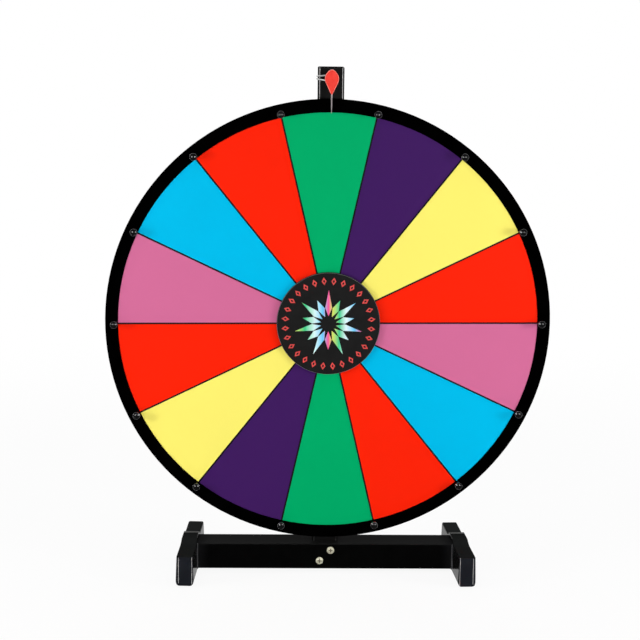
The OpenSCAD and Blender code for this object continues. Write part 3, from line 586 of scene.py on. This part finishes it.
peg_plastic = new_surface("peg_plastic", screen(2, 2, 3), roughness=0.05, specular=0.08)
drift_colour(peg_plastic, cloud(peg_plastic, 250), screen(1, 1, 2), screen(3, 3, 4))
drift_gloss(peg_plastic, cloud(peg_plastic, 400), smooth=0.04, rough=0.08)
# Painted highlight: a grey ring round the head's eased edge.
paint_rim_highlight(peg_plastic, screen(115, 115, 116))
peg_knobs = piece_from("peg_knobs", knobs, peg_plastic)
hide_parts("pegs")
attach(peg_knobs, "wheel")
cover(plain_zinc, "peg_screws")


# Bearing housing: a cast and turned aluminium tube that holds both bearings in the board.
# Its flange lies on the board's back and is held there by four small screws.

cast_metal = new_surface("cast_metal", screen(168, 170, 173), 0.45, 0.5, metallic=1.0)
drift_colour(cast_metal, cloud(cast_metal, 220), screen(158, 160, 163), screen(177, 178, 180))
drift_gloss(cast_metal, cloud(cast_metal, 350), smooth=0.38, rough=0.55)
relief(cast_metal, cloud(cast_metal, 1500), depth=0.00003)
cover(cast_metal, "bearing_housing")
cover(plain_zinc, "housing_screws")


# Hub cap: a shallow moulded cover in satin black, which hides the bearings and the panels'
# inner ends. It is pushed into the board with three studs. A painted highlight rings its edge.

hub_plastic = new_surface("hub_plastic", screen(25, 25, 25), 0.45, specular=0.0, coat=0.02)
drift_colour(hub_plastic, cloud(hub_plastic, 70), screen(23, 23, 23), screen(27, 27, 27))
drift_gloss(hub_plastic, cloud(hub_plastic, 110), smooth=0.4, rough=0.52)
relief(hub_plastic, cloud(hub_plastic, 1500, detail=2.0), depth=0.00002)
# Painted highlight: a pale ring round the cap's rounded edge.
paint_rim_highlight(hub_plastic, screen(120, 120, 120))
cover(hub_plastic, "hub_cap")


# Hub print: a burst of fourteen foil rays and a ring of red open diamonds, each a thin film
# pressed onto the cap's flat front.

hub_low, hub_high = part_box("hub_cap")
hub_mid = (hub_low + hub_high) / 2
film_t = 0.00012
ray_count = 14
ray_root = 0.0105
ray_waist = 0.022
ray_waist_half = 0.0047
ray_reach = (0.047, 0.036)
diamond_count = 28
diamond_r = 0.0592
diamond_half = (0.0034, 0.0054)
diamond_stroke = 0.45
foil_stops = [
    (0.0, screen(214, 226, 96)),
    (0.16, screen(30, 205, 130)),
    (0.3, screen(215, 244, 244)),
    (0.42, screen(96, 200, 246)),
    (0.5, screen(244, 70, 150)),
    (0.56, screen(214, 226, 96)),
    (0.66, screen(30, 205, 140)),
    (0.76, screen(224, 244, 250)),
    (0.88, screen(96, 200, 246)),
    (1.0, screen(244, 62, 140)),
]


def film_piece(name, outlines, surface):
    """Thin film on the hub cap, from outlines of points across and up from the axis.
    Each is an outer edge with the inner edge of a ring, or with None for a plain shape."""
    form = bmesh.new()
    back, front = hub_low.y, hub_low.y - film_t

    def loop(points, depth):
        return [form.verts.new((hub_mid.x + a, depth, hub_mid.z + u)) for a, u in points]

    for outer, inner in outlines:
        rims = [(loop(edge, back), loop(edge, front)) for edge in (outer, inner) if edge]
        for low, high in rims:
            for i in range(len(low)):
                form.faces.new((low[i - 1], low[i], high[i], high[i - 1]))
        for level in (0, 1):
            if not inner:
                form.faces.new(rims[0][level])
                continue
            wide, narrow = rims[0][level], rims[1][level]
            for i in range(len(wide)):
                form.faces.new((wide[i - 1], wide[i], narrow[i], narrow[i - 1]))
    bmesh.ops.recalc_face_normals(form, faces=form.faces)
    piece = piece_from(name, form, surface)
    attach(piece, "wheel")


def turned(points, angle):
    """Points turned about the axis, clockwise as seen from the front."""
    c, s = math.cos(angle), math.sin(angle)
    return [(across * c + up * s, up * c - across * s) for across, up in points]


foil = new_surface("foil", (0.8, 0.9, 0.9), roughness=0.3, specular=0.12)
foil_place = parts_of(foil, "Object")[0]
shades(foil, spread(foil, foil_place, (-ray_reach[0], ray_reach[0])), foil_stops)
rays = []
for k in range(ray_count):
    reach = ray_reach[k % 2]
    kite = [(0, ray_root), (ray_waist_half, ray_waist), (0, reach), (-ray_waist_half, ray_waist)]
    rays.append((turned(kite, 2 * math.pi * k / ray_count), None))
film_piece("hub_burst", rays, foil)

red_ink = new_surface("red_ink", screen(216, 66, 62), roughness=0.4, specular=0.08)
drift_colour(red_ink, cloud(red_ink, 500), screen(206, 58, 55), screen(224, 74, 68))
across, up = diamond_half
diamond = [(0, -up), (across, 0), (0, up), (-across, 0)]
diamonds = []
for k in range(diamond_count):
    angle = 2 * math.pi * (k + 0.5) / diamond_count
    edges = []
    for share in (1, diamond_stroke):
        edge = [(share * a, share * u + diamond_r) for a, u in diamond]
        edges.append(turned(edge, angle))
    diamonds.append(edges)
film_piece("hub_diamonds", diamonds, red_ink)


# Pointer pivot: a plated bolt through the post's top, with nuts on both sides of the post.
# A stand-off tube on the bolt holds the pointer clear of the wheel.

cover(turned_steel, "pivot_bolt")
cover(plain_zinc, "pivot_spacer", "pivot_nuts")


# Pointer spring: one bright wire, wound round the stand-off. Its two legs hold the peg on the
# pointer's plate between them and hook round the post's side, so that the pointer swings back.

wire_d = 0.002
wire_roundness = 4
coil_r = 0.0048
coil_pitch = 0.0026
coil_turns = 4
coil_lead = 0.0015
hook_half = 0.0018
hook_len = 0.006
hook_lead = 0.002
hook_play = 0.0003
leg_start = 0.0065
bend_share = 0.32
bend_steps = 8
coil_steps = 32

tube_low, tube_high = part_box("pivot_spacer")
pivot = (tube_low + tube_high) / 2
hook_x = post_low.x - hook_play - wire_d / 2
reach_out = math.hypot(hook_x, hook_half)
leg_angle = math.atan2(hook_half, hook_x) - math.acos(coil_r / reach_out)
coil_sweep = 2 * math.pi * coil_turns + 2 * leg_angle
coil_back = tube_high.y - coil_lead - wire_d / 2


def coil_point(swept):
    """Point of the coil at an angle from where the lower leg joins it."""
    angle = swept - leg_angle
    depth = coil_back - coil_pitch * swept / (2 * math.pi)
    return Vector((pivot.x + coil_r * math.cos(angle), depth, pivot.z + coil_r * math.sin(angle)))


def leg_route(start, side):
    """Points of a leg from the coil outwards, with rounded bends."""
    away = Vector((-math.sin(leg_angle), 0, side * math.cos(leg_angle)))
    height = pivot.z + side * hook_half
    corners = [
        start,
        start + leg_start * away,
        Vector((hook_x, post_low.y - hook_lead, height)),
        Vector((hook_x, post_low.y + hook_len, height)),
    ]
    route = []
    for before, corner, after in zip(corners, corners[1:], corners[2:]):
        first = corner + bend_share * (before - corner)
        last = corner + bend_share * (after - corner)
        for i in range(bend_steps + 1):
            t = i / bend_steps
            route.append((1 - t) ** 2 * first + 2 * t * (1 - t) * corner + t * t * last)
    return route + [corners[-1]]


coil_count = round(coil_steps * coil_sweep / (2 * math.pi))
coil = [coil_point(coil_sweep * i / coil_count) for i in range(coil_count + 1)]
wire_route = leg_route(coil[0], -1)[::-1] + coil + leg_route(coil[-1], 1)
wire_curve = bpy.data.curves.new("spring_wire", "CURVE")
wire_curve.dimensions = "3D"
wire_curve.bevel_depth = wire_d / 2
wire_curve.bevel_resolution = wire_roundness
wire_curve.use_fill_caps = True
wire_line = wire_curve.splines.new("POLY")
wire_line.points.add(len(wire_route) - 1)
for knot, spot in zip(wire_line.points, wire_route):
    knot.co = (*spot, 1)
wire_line.use_smooth = True
wire_form = put_in("wire_form", wire_curve)
wound = wire_form.evaluated_get(bpy.context.evaluated_depsgraph_get())
wire_mesh = bpy.data.meshes.new_from_object(wound)
bpy.data.objects.remove(wire_form)
spring_wire = put_in("spring_wire", wire_mesh)

bright_wire = new_surface("bright_wire", screen(158, 158, 157), 0.3, 0.5, metallic=1.0)
drift_colour(bright_wire, cloud(bright_wire, 700), screen(150, 150, 149), screen(166, 166, 164))
drift_gloss(bright_wire, cloud(bright_wire, 900), smooth=0.26, rough=0.36)
wire_mesh.materials.append(bright_wire)
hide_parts("pointer_spring")
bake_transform(spring_wire)


# Pointer: a red moulded drop in two halves, the plate behind and the cover in front, with a
# springy tongue of milky plastic held between them.

pointer_plastic = new_surface("pointer_plastic", screen(242, 52, 35), 0.3, specular=0.08)
drift_colour(pointer_plastic, cloud(pointer_plastic, 120), screen(239, 48, 31), screen(244, 56, 40))
drift_gloss(pointer_plastic, cloud(pointer_plastic, 300), smooth=0.26, rough=0.36)
relief(pointer_plastic, cloud(pointer_plastic, 1800, detail=2.0), depth=0.00001)
# Painted highlight: a pale line along the drop's bevelled edge.
paint_rim_highlight(pointer_plastic, screen(255, 128, 115))
cover(pointer_plastic, "pointer_plate", "pointer_cover")

tongue_dark, tongue_pale = screen(140, 132, 133), screen(152, 144, 145)
tongue_plastic = new_surface("tongue_plastic", screen(146, 138, 139), 0.35, specular=0.1)
drift_colour(tongue_plastic, cloud(tongue_plastic, 300), tongue_dark, tongue_pale)
cover(tongue_plastic, "pointer_blade")


# Studio: a white paper floor that takes the object's shadow and fades into a white room.
# The camera sees both brighter than they light the object, so that the far floor is white.

floor_half = 7.0
floor_near = 0.6
floor_far = 1.8
floor_lift = 0.92
paper_white = (0.94, 0.94, 0.94)
room_white = (1, 1, 1, 1)
room_light = 0.28


def seen_ray(surface):
    """One for rays from the camera, or mirrored or let through on the way, nought for the rest."""
    path = surface.node_tree.nodes.new("ShaderNodeLightPath")
    direct = path.outputs["Is Camera Ray"]
    for kind in ("Is Glossy Ray", "Is Transmission Ray"):
        direct = reckon(surface, "MAXIMUM", direct, path.outputs[kind])
    return direct


floor_mesh = bpy.data.meshes.new("floor")
corners = [(-floor_half, -floor_half, 0), (floor_half, -floor_half, 0)]
corners += [(floor_half, floor_half, 0), (-floor_half, floor_half, 0)]
floor_mesh.from_pydata(corners, [], [(0, 1, 2, 3)])
floor = put_in("floor", floor_mesh)
floor_paper = new_surface("floor_paper", paper_white, roughness=0.9, specular=0.0)
paper = floor_paper.node_tree
paper_place = paper.nodes.new("ShaderNodeTexCoord")
paper_off = paper.nodes.new("ShaderNodeVectorMath")
paper_off.operation = "LENGTH"
paper.links.new(paper_place.outputs["Object"], paper_off.inputs[0])
fade_span, fade_reach = (floor_near, floor_far), (floor_lift, 1.0)
fade = spread(floor_paper, paper_off.outputs["Value"], fade_span, fade_reach, soft=True)
paper_glow = paper.nodes.new("ShaderNodeEmission")
paper_mix = paper.nodes.new("ShaderNodeMixShader")
glow_share = reckon(floor_paper, "MULTIPLY", fade, seen_ray(floor_paper))
paper.links.new(glow_share, paper_mix.inputs["Fac"])
paper.links.new(shader_of(floor_paper).outputs["BSDF"], paper_mix.inputs[1])
paper.links.new(paper_glow.outputs["Emission"], paper_mix.inputs[2])
paper.links.new(paper_mix.outputs["Shader"], paper.nodes["Material Output"].inputs["Surface"])
floor_mesh.materials.append(floor_paper)

room = bpy.data.worlds.new("room")
bpy.context.scene.world = room
room.use_nodes = True
room_tree = room.node_tree
room_fill = room_tree.nodes["Background"]
room_fill.inputs["Color"].default_value = room_white
room_fill.inputs["Strength"].default_value = room_light
room_seen = room_tree.nodes.new("ShaderNodeBackground")
room_seen.inputs["Color"].default_value = room_white
room_mix = room_tree.nodes.new("ShaderNodeMixShader")
room_tree.links.new(seen_ray(room), room_mix.inputs["Fac"])
room_tree.links.new(room_fill.outputs["Background"], room_mix.inputs[1])
room_tree.links.new(room_seen.outputs["Background"], room_mix.inputs[2])
room_tree.links.new(room_mix.outputs["Shader"], room_tree.nodes["World Output"].inputs["Surface"])


# Lamps: a small softbox on either side, for the soft shadows of hub and pegs, a key lamp on
# either side of the camera, one box overhead and one behind. Two far, level lamps are seen
# only as glints in what is glossy.


def softbox(name, azimuth, elevation, distance, size, power):
    """A soft lamp aimed at the wheel's middle. Azimuth is to the right of the front."""
    lamp = bpy.data.lights.new(name, "AREA")
    lamp.shape = "RECTANGLE"
    lamp.size, lamp.size_y = size
    lamp.energy = power
    holder = put_in(name, lamp)
    a, e = math.radians(azimuth), math.radians(elevation)
    away = Vector((math.sin(a) * math.cos(e), -math.cos(a) * math.cos(e), math.sin(e)))
    holder.location = wheel_mid + distance * away
    holder.rotation_mode = "QUATERNION"
    holder.rotation_quaternion = (-away).to_track_quat("-Z", "Y")
    holder.visible_camera = False
    return holder


for side, hand in ((-1, "left"), (1, "right")):
    softbox(f"side_{hand}", side * 66, elevation=6, distance=1.75, size=(0.25, 0.4), power=12.5)
    softbox(f"key_{hand}", side * 18, elevation=8, distance=2.3, size=(0.2, 0.2), power=4.5)
    far_lamp = f"glint_{hand}"
    glint = softbox(far_lamp, side * 21, elevation=0, distance=6.0, size=(0.7, 0.7), power=460)
    glint.visible_diffuse = False
softbox("overhead", 0, elevation=88, distance=2.2, size=(1.8, 1.4), power=12)
softbox("behind", 180, elevation=32, distance=2.4, size=(1.4, 1.0), power=12)


# Camera: at the eye height of the picture, a little left of the middle and turned to match.
# The lens is long, so that the wheel stays round.

lens_mm = 95.254
sensor_mm = 36
eye = Vector((-0.077, -2.3043, 0.7892))
yaw = math.radians(1.6491)
pitch = math.radians(10.5518)
roll = math.radians(-0.7452)

ahead = Vector((math.sin(yaw) * math.cos(pitch), math.cos(yaw) * math.cos(pitch), -math.sin(pitch)))
level = Vector((math.cos(yaw), -math.sin(yaw), 0))
upright = level.cross(ahead)
right = math.cos(roll) * level - math.sin(roll) * upright
up = math.sin(roll) * level + math.cos(roll) * upright
lens = bpy.data.cameras.new("camera")
lens.lens = lens_mm
lens.sensor_width = sensor_mm
camera = put_in("camera", lens)
camera.matrix_world = Matrix.Translation(eye) @ Matrix((right, up, -ahead)).transposed().to_4x4()
bpy.context.scene.camera = camera
bpy.context.scene.view_settings.view_transform = "Standard"
